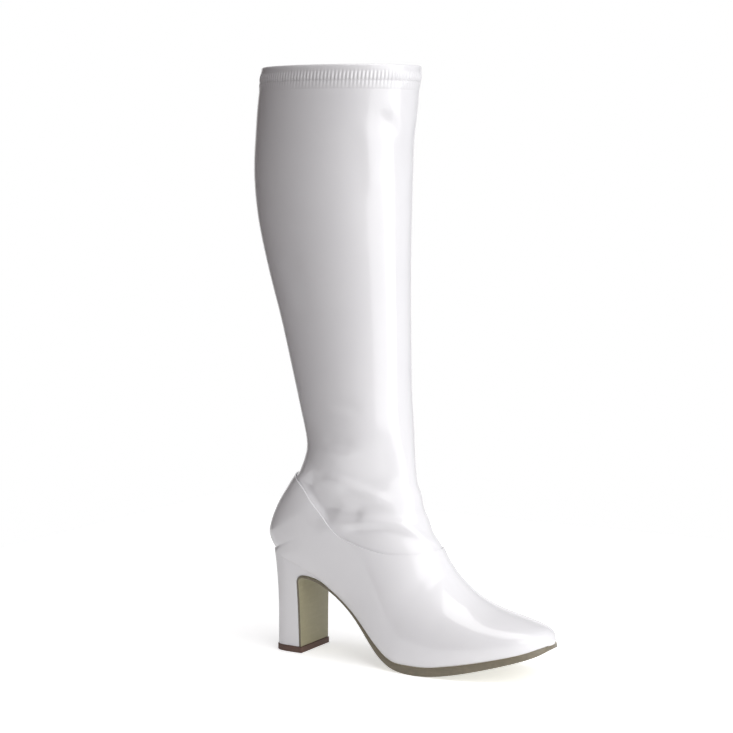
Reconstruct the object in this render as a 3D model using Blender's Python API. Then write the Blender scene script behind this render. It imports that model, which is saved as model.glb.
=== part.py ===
"""A white stretch-patent go go boot for the right foot, standing empty on its sole.

Metres, +X to the toe, +Y to the wearer's left (the boot's inner side), +Z up. The origin is the
centre of the top lift's underside, on the floor.

The shell is one skin of sections. In the foot each section is an arch that springs from the two
edges of the last's bottom and passes over the instep. Behind the heel the arches close to rings,
and these go up through the ankle to the collar.
"""

import math

import bmesh
import bpy

# The last and the leg. A maker would set each of these by itself.
FOOT_LENGTH = 0.2460
BALL_WIDTH = 0.0734
HEEL_RISE = 0.075
TOE_SPRING = 0.0206
INSTEP_HEIGHT = 0.060
ANKLE_RISE = 0.088
ANKLE_DEPTH = 0.0885
ANKLE_WIDTH = 0.0730
SHAFT_RISE = 0.2960
CALF_DEPTH = 0.1362
CALF_WIDTH = 0.0966

# Thicknesses of the materials.
UPPER_WALL = 0.0014
COVER_WALL = 0.0010
HEM_HEIGHT = 0.0120
HEM_STEP = 0.0006
INSOLE_THICKNESS = 0.0022
INSOLE_BEVEL = 0.0010
INSOLE_FIT = 0.0010
SOLE_THICKNESS = 0.0070
SOLE_OVERHANG = 0.0008
FLAP_THICKNESS = 0.0018

# The heel, measured where it meets the lift. HEEL_LENGTH takes in the flap, HEEL_SET is how far the
# heel's middle stands ahead of the counter's back, and HEEL_TIP is the thickness of its front edge.
# HEEL_SQUARE is how square the lift's back corners are, where 2 is an ellipse.
HEEL_LENGTH = 0.0262
HEEL_WIDTH = 0.0420
HEEL_SET = 0.0236
BREAST_LEAN = 0.0008
BREAST_FILLET = 0.0052
HEEL_TIP = 0.0006
HEEL_SQUARE = 4.6
LIFT_THICKNESS = 0.0048
LIFT_OVERHANG = 0.0006

# Gap that touching pieces keep.
FIT = 0.0003

# How finely the skin is divided: faces round a section, steps from row to row in the foot, and
# points that a section's curve is measured by. Above the foot each row is one step.
ACROSS = 26
FOOT_STEPS = 2
CURVE_POINTS = 48

# How finely the other pieces are divided: points round the heel's back, steps of the breast's
# fillet, of the flap and heel below it, of the heel's lip and of the top line from row to row.
HEEL_POINTS = 24
FILLET_STEPS = 5
FLAP_STEPS = 4
LIP_STEPS = 4
TOP_LINE_STEPS = 3

# Edges sharper than this, in degrees, stay crisp when the faces are shaded smooth.
CREASE_ANGLE = 40
# Halvings that find a place on a curve, and the run of the hem's step, in rows.
HALVINGS = 40
HEM_SLOPE = 0.03
# Decimals of a metre to which two points are one.
WELD_DECIMALS = 7

# Underside of the last, from the back of the seat to the toe. along is a share of the foot's
# length from the counter's back, rise of HEEL_RISE, spring of TOE_SPRING and sheet of SOLE_THICKNESS.
# lip is the height of the covered heel that runs out over the sole, a share of HEEL_RISE.
BOTTOM_COLUMNS = ("along", "rise", "spring", "sheet", "lip")
BOTTOM_ROWS = (
    (0.000, 1.010, 0.00, 0.26, 0.300),
    (0.062, 0.977, 0.00, 0.26, 0.250),
    (0.114, 0.927, 0.00, 0.26, 0.167),
    (0.174, 0.843, 0.00, 0.26, 0.078),
    (0.207, 0.790, 0.00, 0.26, 0.037),
    (0.240, 0.722, 0.00, 0.26, 0.015),
    (0.293, 0.603, 0.00, 0.26, 0.000),
    (0.356, 0.447, 0.00, 0.27, 0.000),
    (0.394, 0.327, 0.00, 0.33, 0.000),
    (0.442, 0.172, 0.00, 0.55, 0.000),
    (0.495, 0.046, 0.00, 0.68, 0.000),
    (0.542, 0.000, 0.00, 0.88, 0.000),
    (0.575, 0.000, 0.00, 1.00, 0.000),
    (0.626, 0.000, 0.00, 1.00, 0.000),
    (0.705, 0.000, 0.13, 1.00, 0.000),
    (0.808, 0.000, 0.38, 0.90, 0.000),
    (0.910, 0.000, 0.67, 0.76, 0.000),
    (0.965, 0.000, 0.86, 0.70, 0.000),
    (0.990, 0.000, 0.96, 0.57, 0.000),
    (1.000, 0.000, 1.00, 0.40, 0.000),
)

# Arches of the foot, from the toe back to the seat. along and lead (how far the crown stands ahead
# of the edge) are shares of FOOT_LENGTH. edge (half-width at the last's edge), full (greatest
# half-width), swing (sideways place of the edge's middle) and ridge (of the crown) are shares of
# BALL_WIDTH. crown is a share of INSTEP_HEIGHT, and belly is how far up the widest place lies. low
# and square are how square the section's curve is below and above the belly, where 2 is an ellipse.
FOOT_COLUMNS = (
    "along", "edge", "swing", "lead", "crown", "full", "belly", "ridge", "low", "square",
)
FOOT_ROWS = (
    (1.0000, 0.000, 0.058, 0.000, 0.020, 0.000, 0.40, 0.058, 2.3, 2.20),
    (0.9955, 0.088, 0.058, 0.000, 0.095, 0.091, 0.40, 0.058, 2.3, 2.20),
    (0.9830, 0.170, 0.056, 0.000, 0.165, 0.175, 0.40, 0.056, 2.3, 2.20),
    (0.9600, 0.254, 0.053, 0.000, 0.235, 0.262, 0.38, 0.054, 2.3, 2.20),
    (0.9240, 0.334, 0.048, 0.002, 0.320, 0.345, 0.34, 0.052, 2.3, 2.15),
    (0.8640, 0.408, 0.041, 0.006, 0.445, 0.422, 0.30, 0.050, 2.3, 2.00),
    (0.7870, 0.470, 0.030, 0.014, 0.590, 0.486, 0.26, 0.050, 2.3, 1.95),
    (0.7055, 0.500, 0.018, 0.030, 0.775, 0.517, 0.24, 0.048, 2.3, 1.90),
    (0.6257, 0.492, -0.007, 0.060, 0.975, 0.512, 0.24, 0.042, 2.3, 1.88),
    (0.5430, 0.446, -0.035, 0.108, 1.135, 0.487, 0.28, 0.036, 2.3, 1.88),
    (0.5015, 0.411, -0.041, 0.136, 1.170, 0.471, 0.31, 0.033, 2.3, 1.89),
    (0.4600, 0.376, -0.041, 0.164, 1.142, 0.456, 0.34, 0.030, 2.3, 1.90),
    (0.3780, 0.326, -0.030, 0.226, 0.990, 0.440, 0.40, 0.022, 2.3, 1.92),
    (0.2965, 0.309, -0.014, 0.284, 0.877, 0.440, 0.44, 0.014, 2.3, 1.95),
    (0.2167, 0.323, -0.004, 0.346, 0.814, 0.448, 0.46, 0.008, 2.3, 2.00),
    (0.1452, 0.341, 0.000, 0.404, 0.818, 0.455, 0.46, 0.004, 2.3, 2.00),
    (0.0920, 0.335, 0.000, 0.448, 0.848, 0.459, 0.46, 0.000, 2.3, 2.00),
    (0.0580, 0.277, 0.000, 0.478, 0.872, 0.462, 0.46, 0.000, 2.3, 2.00),
    (0.0350, 0.190, 0.000, 0.497, 0.914, 0.464, 0.46, 0.000, 2.3, 2.00),
    (0.0235, 0.000, 0.000, 0.503, 0.966, 0.466, 0.46, 0.000, 2.3, 2.00),
)

# Rings from the seat up to the narrowest place over the heel. back and front are shares of
# ANKLE_RISE above the seat, tuck goes from the counter's back (0) to the ankle's back (1), shin is
# a share of FOOT_LENGTH from the counter's back, and width is a share of ANKLE_WIDTH.
ANKLE_COLUMNS = ("back", "front", "tuck", "shin", "width", "belly", "low", "square")
ANKLE_ROWS = (
    (0.100, 0.765, 0.022, 0.5210, 0.945, 0.46, 2.3, 2.0),
    (0.195, 0.820, 0.052, 0.5188, 0.955, 0.46, 2.3, 2.0),
    (0.300, 0.880, 0.150, 0.5164, 0.965, 0.47, 2.3, 2.0),
    (0.420, 0.950, 0.305, 0.5137, 0.975, 0.48, 2.3, 2.0),
    (0.560, 1.030, 0.530, 0.5107, 0.985, 0.49, 2.2, 2.0),
    (0.700, 1.110, 0.780, 0.5078, 0.992, 0.50, 2.2, 2.0),
    (0.840, 1.190, 0.950, 0.5049, 0.998, 0.50, 2.1, 2.0),
    (1.000, 1.290, 1.000, 0.5018, 1.000, 0.50, 2.0, 2.0),
)

# Rings of the shaft. back and front are shares of SHAFT_RISE above the ankle, shin is a share of
# FOOT_LENGTH, and depth and width go from the ankle's (0) to the calf's (1).
SHAFT_COLUMNS = ("back", "front", "shin", "depth", "width", "belly", "low", "square")
SHAFT_ROWS = (
    (0.095, 0.150, 0.4979, 0.115, 0.040, 0.50, 2.0, 2.0),
    (0.200, 0.235, 0.4963, 0.270, 0.110, 0.50, 2.0, 2.0),
    (0.330, 0.345, 0.4944, 0.467, 0.250, 0.50, 2.0, 2.0),
    (0.470, 0.470, 0.4934, 0.712, 0.500, 0.50, 2.0, 2.0),
    (0.600, 0.600, 0.4947, 0.900, 0.800, 0.50, 2.0, 2.0),
    (0.720, 0.720, 0.4975, 0.983, 0.960, 0.50, 2.0, 2.0),
    (0.830, 0.830, 0.5071, 0.995, 1.000, 0.50, 2.0, 2.0),
    (0.920, 0.920, 0.5168, 0.990, 1.010, 0.50, 2.0, 2.0),
    (1.000, 1.000, 0.5236, 0.931, 0.950, 0.50, 2.0, 2.0),
)

# The heel block from the lift up to the seat. rise is a share of the height there, back goes from
# the lift's back (0) to the seat's back (1), and breadth from the lift's outline to the seat's.
HEEL_COLUMNS = ("rise", "back", "breadth")
HEEL_ROWS = (
    (0.00, 0.00, 0.00),
    (0.35, 0.03, 0.14),
    (0.60, 0.20, 0.32),
    (0.78, 0.48, 0.56),
    (0.91, 0.78, 0.82),
    (1.00, 1.00, 1.00),
)

# Top edge of the foot section in side view. along is a share of FOOT_LENGTH, and rise is a share
# of ANKLE_RISE above the seat.
TOP_LINE_COLUMNS = ("along", "rise")
TOP_LINE_ROWS = (
    (0.080, 0.715),
    (0.145, 0.690),
    (0.185, 0.620),
    (0.217, 0.510),
    (0.250, 0.405),
    (0.286, 0.300),
    (0.322, 0.215),
    (0.358, 0.170),
    (0.430, 0.116),
    (0.493, 0.085),
    (0.552, 0.078),
    (0.603, 0.098),
    (0.715, 0.170),
)

BACK = -HEEL_SET
HEEL_HALF = HEEL_LENGTH / 2
# Smallest share or length that a curve's formula divides by.
LEAST_CUT = 1e-6


def column(rows, columns, name):
    """One named column of a table."""
    place = columns.index(name)
    return [row[place] for row in rows]


def slopes(places, values):
    """Slopes of a smooth curve through the values that never overshoots them."""
    steps = [(b - a) / (q - p) for a, b, p, q in zip(values, values[1:], places, places[1:])]
    middle = [0.0 if a * b <= 0 else 2 * a * b / (a + b) for a, b in zip(steps, steps[1:])]
    return [steps[0], *middle, steps[-1]]


def read(places, values, at):
    """The smooth curve's value at one place."""
    at = min(max(at, places[0]), places[-1])
    i = max(k for k in range(len(places) - 1) if places[k] <= at)
    grade = slopes(places, values)
    width = places[i + 1] - places[i]
    t = (at - places[i]) / width
    return (
        values[i] * (1 + 2 * t) * (1 - t) ** 2
        + grade[i] * width * t * (1 - t) ** 2
        + values[i + 1] * t * t * (3 - 2 * t)
        + grade[i + 1] * width * t * t * (t - 1)
    )


def mix(low, high, share):
    return low + (high - low) * share


def bottom_column(name, x):
    """A column of the last's underside at one place along the foot."""
    places = column(BOTTOM_ROWS, BOTTOM_COLUMNS, "along")
    return read(places, column(BOTTOM_ROWS, BOTTOM_COLUMNS, name), (x - BACK) / FOOT_LENGTH)


def bottom(x):
    """Height of the last's underside, which is the sole's and the heel's upper face."""
    return SOLE_THICKNESS + HEEL_RISE * bottom_column("rise", x) + TOE_SPRING * bottom_column("spring", x)


SEAT = bottom(BACK)
ANKLE = SEAT + ANKLE_RISE
COLLAR = ANKLE + SHAFT_RISE


def foot_section(row):
    """Sizes of one arch of the foot."""
    given = dict(zip(FOOT_COLUMNS, row))
    x = BACK + given["along"] * FOOT_LENGTH
    z = bottom(x) + FIT
    return {
        "base": (x, z),
        "crown": (x + given["lead"] * FOOT_LENGTH, z + given["crown"] * INSTEP_HEIGHT),
        "edge": given["edge"] * BALL_WIDTH,
        "full": given["full"] * BALL_WIDTH,
        "swing": given["swing"] * BALL_WIDTH,
        "ridge": given["ridge"] * BALL_WIDTH,
        "belly": given["belly"],
        "low": given["low"],
        "square": given["square"],
    }


def ring_section(back, front, half_width, given):
    """Sizes of one closed ring between a point on the back and a point on the shin."""
    return {
        "base": back,
        "crown": front,
        "edge": 0.0,
        "full": half_width,
        "swing": 0.0,
        "ridge": 0.0,
        "belly": given["belly"],
        "low": given["low"],
        "square": given["square"],
    }


def ankle_section(row):
    given = dict(zip(ANKLE_COLUMNS, row))
    shin = BACK + given["shin"] * FOOT_LENGTH
    ankle_back = BACK + ANKLE_ROWS[-1][ANKLE_COLUMNS.index("shin")] * FOOT_LENGTH - ANKLE_DEPTH
    back = (mix(BACK, ankle_back, given["tuck"]), SEAT + given["back"] * ANKLE_RISE)
    front = (shin, SEAT + given["front"] * ANKLE_RISE)
    return ring_section(back, front, given["width"] * ANKLE_WIDTH / 2, given)


def shaft_section(row):
    given = dict(zip(SHAFT_COLUMNS, row))
    shin = BACK + given["shin"] * FOOT_LENGTH
    back = (shin - mix(ANKLE_DEPTH, CALF_DEPTH, given["depth"]), ANKLE + given["back"] * SHAFT_RISE)
    front = (shin, ANKLE + given["front"] * SHAFT_RISE)
    return ring_section(back, front, mix(ANKLE_WIDTH, CALF_WIDTH, given["width"]) / 2, given)


SECTIONS = (
    [foot_section(row) for row in FOOT_ROWS]
    + [ankle_section(row) for row in ANKLE_ROWS]
    + [shaft_section(row) for row in SHAFT_ROWS]
)
CLOSING = len(FOOT_ROWS) - 1
LAST = len(SECTIONS) - 1


def through(a, b, c, d, t):
    """A point on the smooth curve that passes through b at 0 and c at 1."""
    return 0.5 * (
        2 * b + (c - a) * t + (2 * a - 5 * b + 4 * c - d) * t * t + (3 * b - a - 3 * c + d) * t**3
    )


def section(place):
    """Sizes of the section at a place counted in rows, read from the four rows round it."""
    i = min(int(place), LAST - 1)
    t = place - i
    near = [SECTIONS[min(max(k, 0), LAST)] for k in (i - 1, i, i + 1, i + 2)]
    found = {}
    for name in ("edge", "full", "swing", "ridge", "belly", "low", "square"):
        found[name] = through(*(row[name] for row in near), t)
    for name in ("base", "crown"):
        found[name] = tuple(through(*(row[name][axis] for row in near), t) for axis in (0, 1))
    if place < CLOSING:
        x = found["base"][0]
        found["base"] = (x, bottom(x) + FIT)
        found["edge"] = min(max(found["edge"], 0.0), found["full"])
    else:
        found["edge"] = 0.0
    return found


def half_curve(sizes):
    """One side of a section from its edge to its crown, as (share of the way up, half-width)."""
    full = sizes["full"]
    low = sizes["low"]
    cut = max(1 - (sizes["edge"] / full) ** low, LEAST_CUT) ** (1 / low)
    turn = math.asin(min(cut ** (low / 2), 1.0))
    curve = []
    for k in range(CURVE_POINTS + 1):
        angle = turn * (1 - k / CURVE_POINTS)
        down = math.sin(angle) ** (2 / low)
        curve.append((sizes["belly"] * (1 - down / cut), full * math.cos(angle) ** (2 / low)))
    power = 2 / sizes["square"]
    for k in range(1, CURVE_POINTS + 1):
        angle = math.pi / 2 * k / CURVE_POINTS
        across = full * max(math.cos(angle), 0.0) ** power
        curve.append((mix(sizes["belly"], 1.0, math.sin(angle) ** power), across))
    curve[-1] = (1.0, 0.0)
    return curve


def side_points(sizes, side):
    """Evenly spaced points up one side of a section, the outer side with -1 and the inner with 1."""
    (bx, bz), (tx, tz) = sizes["base"], sizes["crown"]
    line = []
    for up, half in half_curve(sizes):
        middle = mix(sizes["swing"], sizes["ridge"], up)
        line.append((mix(bx, tx, up), middle + side * half, mix(bz, tz, up)))
    run = [0.0]
    for a, b in zip(line, line[1:]):
        run.append(run[-1] + math.dist(a, b))
    points = []
    k = 0
    for step in range(ACROSS // 2 + 1):
        goal = run[-1] * step / (ACROSS // 2)
        while k < len(run) - 2 and run[k + 1] < goal:
            k += 1
        share = (goal - run[k]) / max(run[k + 1] - run[k], LEAST_CUT)
        points.append(tuple(mix(a, b, min(share, 1.0)) for a, b in zip(line[k], line[k + 1])))
    return points


def hem_place():
    """The place, in rows, where the hem's lower edge lies."""
    low, high = float(CLOSING), float(LAST)
    for _ in range(HALVINGS):
        middle = (low + high) / 2
        if section(middle)["base"][1] < COLLAR - HEM_HEIGHT:
            low = middle
        else:
            high = middle
    return low


HEM = hem_place()


def places_up_to(last):
    """Places of the sections, from the toe's tip, with a pair at the hem's lower edge."""
    places = [k / FOOT_STEPS for k in range(CLOSING * FOOT_STEPS)]
    places += [float(k) for k in range(CLOSING, last + 1)]
    if last < LAST:
        return places
    return sorted([*places, HEM, HEM + HEM_SLOPE])


class Skin:
    """The form's outer surface as a grid of points, open along the last's edge and at the top."""

    def __init__(self, places):
        self.places = places
        self.points = []
        self.rows = []
        for place in places:
            self.add(place)
        self.faces = self.make_faces()
        self.normals = self.find_normals()

    def add(self, place):
        sizes = section(place)
        if place == 0:
            line = [(sizes["base"][0], sizes["swing"], sizes["base"][1])]
        else:
            outer = side_points(sizes, -1)
            inner = side_points(sizes, 1)
            line = outer + inner[-2::-1]
            if place >= CLOSING:
                line.pop()
        first = len(self.points)
        self.points += line
        self.rows.append(list(range(first, first + len(line))))

    def make_faces(self):
        faces = []
        for place, row, after in zip(self.places, self.rows, self.rows[1:]):
            closed_row = row + row[:1] if place >= CLOSING else row
            closed_after = after + after[:1] if len(after) == ACROSS else after
            if place == 0:
                faces += [(row[0], b, a) for a, b in zip(closed_after, closed_after[1:])]
                continue
            sides = zip(closed_row, closed_row[1:], closed_after, closed_after[1:])
            faces += [(a, b, d, c) for a, b, c, d in sides]
        return faces

    def find_normals(self):
        work = bmesh.new()
        spots = [work.verts.new(point) for point in self.points]
        for face in self.faces:
            work.faces.new([spots[k] for k in face])
        work.normal_update()
        normals = [spot.normal.copy() for spot in spots]
        work.free()
        for k in self.edge_loop() + self.rows[-1]:
            normals[k].z = 0.0
            normals[k].normalize()
        return normals

    def edge_loop(self):
        """The points along the last's edge: tip, outer side, back of the seat, inner side."""
        foot = [row for place, row in zip(self.places, self.rows) if 0 < place < CLOSING]
        closing = self.rows[self.places.index(CLOSING)]
        outer = [row[0] for row in foot]
        inner = [row[-1] for row in reversed(foot)]
        return [self.rows[0][0], *outer, closing[0], *inner]

    def grown(self, grow):
        """The points moved out by a distance, which may depend on the place in rows."""
        moved = [None] * len(self.points)
        on_edge = set(self.edge_loop())
        for place, row in zip(self.places, self.rows):
            distance = grow(place) if callable(grow) else grow
            for k in row:
                x, y, z = (a + distance * b for a, b in zip(self.points[k], self.normals[k]))
                moved[k] = (x, y, bottom(x) + FIT) if k in on_edge else (x, y, z)
        return moved

    def wall(self, outside, inside):
        """Points and faces of the closed shell between two distances."""
        count = len(self.points)
        points = self.grown(outside) + self.grown(inside)
        faces = self.faces + [tuple(k + count for k in reversed(face)) for face in self.faces]
        for loop in (self.edge_loop(), self.rows[-1][::-1]):
            for a, b in zip(loop, loop[1:] + loop[:1]):
                faces.append((a, b, b + count, a + count))
        return points, faces


def material(name, colour, roughness, metallic=0.0, coat=0.0):
    """A plain material of one finish."""
    made = bpy.data.materials.new(name)
    made.use_nodes = True
    shader = made.node_tree.nodes["Principled BSDF"]
    shader.inputs["Base Color"].default_value = (*colour, 1.0)
    shader.inputs["Roughness"].default_value = roughness
    shader.inputs["Metallic"].default_value = metallic
    shader.inputs["Coat Weight"].default_value = coat
    return made


def solid(name, points, faces, finish):
    """A named object from one closed body, its faces turned outwards."""
    mesh = bpy.data.meshes.new(name)
    work = bmesh.new()
    spots = [work.verts.new(point) for point in points]
    for face in faces:
        work.faces.new([spots[k] for k in face])
    bmesh.ops.recalc_face_normals(work, faces=work.faces)
    bmesh.ops.triangulate(work, faces=work.faces)
    work.to_mesh(mesh)
    work.free()
    mesh.shade_smooth()
    mesh.set_sharp_from_angle(angle=math.radians(CREASE_ANGLE))
    mesh.materials.append(finish)
    piece = bpy.data.objects.new(name, mesh)
    bpy.context.scene.collection.objects.link(piece)
    return piece


def upper_wall(place, side):
    """How far the upper's outer (1) or inner (-1) face lies from the form."""
    hem = HEM_STEP if place > HEM else 0.0
    return hem if side > 0 else -UPPER_WALL - hem


def make_upper(finish):
    """The shaft and foot in one hollow shell, its hem a step in the wall."""
    skin = Skin(places_up_to(LAST))
    points, faces = skin.wall(lambda p: upper_wall(p, 1), lambda p: upper_wall(p, -1))
    return solid("upper", points, faces, finish)


def make_foot_cover(finish):
    """The vamp and counter, cut between two larger forms along the foot section's top edge."""
    skin = Skin(places_up_to(CLOSING + len(ANKLE_ROWS)))
    points, faces = skin.wall(FIT + COVER_WALL, FIT)
    cover = solid("foot_cover", points, faces, finish)
    cutter = top_line_cutter(finish)
    cut = cover.modifiers.new("top edge", "BOOLEAN")
    cut.operation = "DIFFERENCE"
    cut.solver = "EXACT"
    cut.object = cutter
    return cover


def top_line_cutter(finish):
    """A slab over the foot section's top edge, wider and taller than the shaft."""
    places = column(TOP_LINE_ROWS, TOP_LINE_COLUMNS, "along")
    rises = column(TOP_LINE_ROWS, TOP_LINE_COLUMNS, "rise")
    line = []
    for a, b in zip(places, places[1:]):
        for step in range(TOP_LINE_STEPS):
            along = mix(a, b, step / TOP_LINE_STEPS)
            rise = read(places, rises, along)
            line.append((BACK + along * FOOT_LENGTH, SEAT + rise * ANKLE_RISE))
    line.append((BACK + places[-1] * FOOT_LENGTH, SEAT + rises[-1] * ANKLE_RISE))
    line.insert(0, (BACK - CALF_DEPTH, line[0][1]))
    line.append((line[-1][0] + CALF_DEPTH, COLLAR))
    line.append((BACK - CALF_DEPTH, COLLAR))
    count = len(line)
    points = [(x, side * CALF_WIDTH, z) for side in (-1, 1) for x, z in line]
    faces = [tuple(range(count)), tuple(reversed(range(count, 2 * count)))]
    for k in range(count):
        after = (k + 1) % count
        faces.append((k, k + count, after + count, after))
    cutter = solid("top_edge_cutter", points, faces, finish)
    cutter.hide_render = True
    cutter.display_type = "WIRE"
    return cutter


def edge_pairs(grow):
    """(outer, inner) points of the last's edge moved out by a distance, from the tip to the seat."""
    skin = Skin(places_up_to(CLOSING + 1))
    moved = skin.grown(grow)
    loop = skin.edge_loop()
    half = len(loop) // 2
    return [(moved[loop[k]], moved[loop[-k] if k else loop[0]]) for k in range(half + 1)]


def strip(upper_pairs, lower_pairs):
    """Points and faces of a sheet between two rows of (outer, inner) pairs of equal length."""
    points = []
    for high, low in zip(upper_pairs, lower_pairs):
        points += [high[0], high[1], low[1], low[0]]
    faces = []
    for k in range(len(upper_pairs) - 1):
        for side in range(4):
            a = 4 * k + side
            b = 4 * k + (side + 1) % 4
            faces.append((a, b, b + 4, a + 4))
    last = 4 * (len(upper_pairs) - 1)
    faces += [(3, 2, 1, 0), (last, last + 1, last + 2, last + 3)]
    return points, faces


def weld(points, faces):
    """The same body with points that coincide made one and collapsed faces dropped."""
    places = {}
    turned = []
    kept = []
    for point in points:
        key = tuple(round(value, WELD_DECIMALS) for value in point)
        if key not in places:
            places[key] = len(kept)
            kept.append(point)
        turned.append(places[key])
    found = []
    for face in faces:
        ring = []
        for k in (turned[j] for j in face):
            if k not in ring:
                ring.append(k)
        if len(ring) > 2:
            found.append(tuple(ring))
    return kept, found


def make_insole(finish):
    """The board and sock that close the upper underneath."""
    low = edge_pairs(-(UPPER_WALL + INSOLE_FIT))
    inset = edge_pairs(-(UPPER_WALL + INSOLE_FIT + INSOLE_BEVEL))
    high = [tuple((x, y, z + INSOLE_THICKNESS) for x, y, z in pair) for pair in inset]
    return solid("insole", *weld(*strip(high, low)), finish)


def breast_x(z):
    """Front face of the flap: it leans back as it rises from the lift."""
    return HEEL_HALF - BREAST_LEAN * z / SEAT


def sole_top(x):
    """Height of the sole's upper face, which leaves the last's underside where the heel begins."""
    return bottom(x) - HEEL_RISE * bottom_column("lip", x)


def fall(x):
    """Angle at which the sole goes down towards the toe."""
    step = FIT / 2
    return math.atan2(sole_top(x - step) - sole_top(x + step), 2 * step)


def under(point, thickness):
    """The point of the sole's lower face that lies square below one of its upper face."""
    x, y, z = point
    angle = fall(x)
    return (x - thickness * math.sin(angle), y, z - thickness * math.cos(angle))


def breast_fillet():
    """Centre of the fillet between the flap and the waist, and the waist's fall where it starts."""
    outer = BREAST_FILLET + FLAP_THICKNESS
    centre_z = SEAT
    angle = 0.0
    for _ in range(HALVINGS):
        centre_x = breast_x(centre_z) + BREAST_FILLET
        start = centre_x + outer * math.sin(angle)
        centre_z = sole_top(start) - outer * math.cos(angle)
        angle = fall(start)
    return centre_x, centre_z, angle


CORNER_X, CORNER_Z, CORNER_FALL = breast_fillet()


def on_fillet(radius, share):
    """A point of a fillet about the corner's centre, from the waist (0) to the flap (1)."""
    angle = mix(math.pi / 2 - CORNER_FALL, math.pi, share)
    return CORNER_X + radius * math.cos(angle), CORNER_Z + radius * math.sin(angle)


EDGE = edge_pairs(FIT + COVER_WALL)


def seat_edge(x):
    """Middle and half-width of the covered foot at its lower edge, at one place along it."""
    for front, behind in zip(EDGE, EDGE[1:]):
        if behind[0][0] <= x <= front[0][0]:
            share = (x - behind[0][0]) / (front[0][0] - behind[0][0])
            outer, inner = (mix(behind[k][1], front[k][1], share) for k in (0, 1))
            return (outer + inner) / 2, (inner - outer) / 2
    return 0.0, 0.0


def heel_column(name, rise):
    return read(column(HEEL_ROWS, HEEL_COLUMNS, "rise"), column(HEEL_ROWS, HEEL_COLUMNS, name), rise)


def heel_rise(x, z):
    """Share of the heel's height at a point of its front."""
    floor = LIFT_THICKNESS + FIT
    return min(max((z - floor) / (bottom(x) - floor), 0.0), 1.0)


def heel_half_width(x, z):
    """Half-width of the heel and flap at a point of their front."""
    return mix(HEEL_WIDTH / 2, seat_edge(x)[1], heel_column("breadth", heel_rise(x, z)))


def make_outsole(finish):
    """The sole from the toe to the breast, and the flap that it turns down the heel's front."""

    def overhang(place):
        x = section(place)["base"][0]
        waist = bottom_column("sheet", BACK)
        share = (bottom_column("sheet", x) - waist) / (1 - waist)
        return FIT + COVER_WALL + SOLE_OVERHANG * min(max(share, 0.0), 1.0)

    def cross(x, z, half, middle):
        return ((x, middle - half, z), (x, middle + half, z))

    outer = BREAST_FILLET + FLAP_THICKNESS
    start, _ = on_fillet(outer, 0.0)
    high = []
    low = []
    for pair in edge_pairs(overhang):
        if min(pair[0][0], pair[1][0]) > start + FLAP_THICKNESS:
            top = [(x, y, sole_top(x)) for x, y, _ in pair]
            high.append(tuple(top))
            low.append(tuple(under(p, SOLE_THICKNESS * bottom_column("sheet", p[0])) for p in top))
    for line, radius in ((high, outer), (low, BREAST_FILLET)):
        for k in range(FILLET_STEPS + 1):
            share = k / FILLET_STEPS
            x, z = on_fillet(radius, share)
            middle, half = seat_edge(x)
            half = mix(half, heel_half_width(x, z), share)
            line.append(cross(x, z, half, middle * (1 - share)))
    for k in range(1, FLAP_STEPS + 1):
        z = mix(CORNER_Z, LIFT_THICKNESS + FIT, k / FLAP_STEPS)
        x = breast_x(z)
        low.append(cross(x, z, heel_half_width(x, z), 0.0))
        x -= FLAP_THICKNESS
        high.append(cross(x, z, heel_half_width(x, z), 0.0))
    return solid("outsole", *weld(*strip(high, low)), finish)


def lip_end(start):
    """Where the heel's lip over the sole is down to the thickness of its tip."""
    low, high = start, BACK + FOOT_LENGTH
    for _ in range(HALVINGS):
        middle = (low + high) / 2
        if bottom(middle) - sole_top(middle) > HEEL_TIP + FIT:
            low = middle
        else:
            high = middle
    return low


def heel_fronts():
    """Points up the heel's front: behind the flap, round its fillet, along the lip, up the tip."""
    radius = BREAST_FILLET + FLAP_THICKNESS + FIT
    fronts = []
    for k in range(FLAP_STEPS):
        z = mix(LIFT_THICKNESS + FIT, CORNER_Z, k / FLAP_STEPS)
        fronts.append((breast_x(z) - FLAP_THICKNESS - FIT, z))
    fronts += [on_fillet(radius, 1 - k / FILLET_STEPS) for k in range(FILLET_STEPS + 1)]
    start, _ = fronts[-1]
    tip = lip_end(start)
    for k in range(1, LIP_STEPS + 1):
        x = mix(start, tip, k / LIP_STEPS)
        fronts.append((x, sole_top(x) + FIT))
    return [*fronts, (tip, bottom(tip))]


def outline_point(front, back, rise, turn):
    """A point round the heel at a share of its height, between the lift's outline and the seat's."""
    down = math.sin(turn)
    across = HEEL_WIDTH / 2 * max(1 - down**HEEL_SQUARE, 0.0) ** (1 / HEEL_SQUARE)
    _, seat = seat_edge(mix(front, EDGE[-1][0][0], down))
    side = -1 if math.cos(turn) > 0 else 1
    return mix(front, back, down), side * mix(across, seat, heel_column("breadth", rise))


def ring_stack(rings):
    """Points and faces of a body from rings of equal length, closed at both ends."""
    count = len(rings[0])
    points = [point for ring in rings for point in ring]
    faces = [tuple(reversed(range(count)))]
    faces.append(tuple(range(len(points) - count, len(points))))
    for level in range(len(rings) - 1):
        for k in range(count):
            a = level * count + k
            b = level * count + (k + 1) % count
            faces.append((a, b, b + count, a + count))
    return points, faces


def make_heel_block(finish):
    """The covered block heel, from the lift up to the slope of the seat."""
    floor = LIFT_THICKNESS + FIT
    rings = []
    for front, z in heel_fronts():
        rise = heel_rise(front, z)
        back = mix(-HEEL_HALF, EDGE[-1][0][0], heel_column("back", rise))
        ring = []
        for k in range(HEEL_POINTS + 1):
            x, y = outline_point(front, back, rise, math.pi * k / HEEL_POINTS)
            ring.append((x, y, mix(floor, bottom(x), rise)))
        rings.append(ring)
    return solid("heel_block", *ring_stack(rings), finish)


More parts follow.
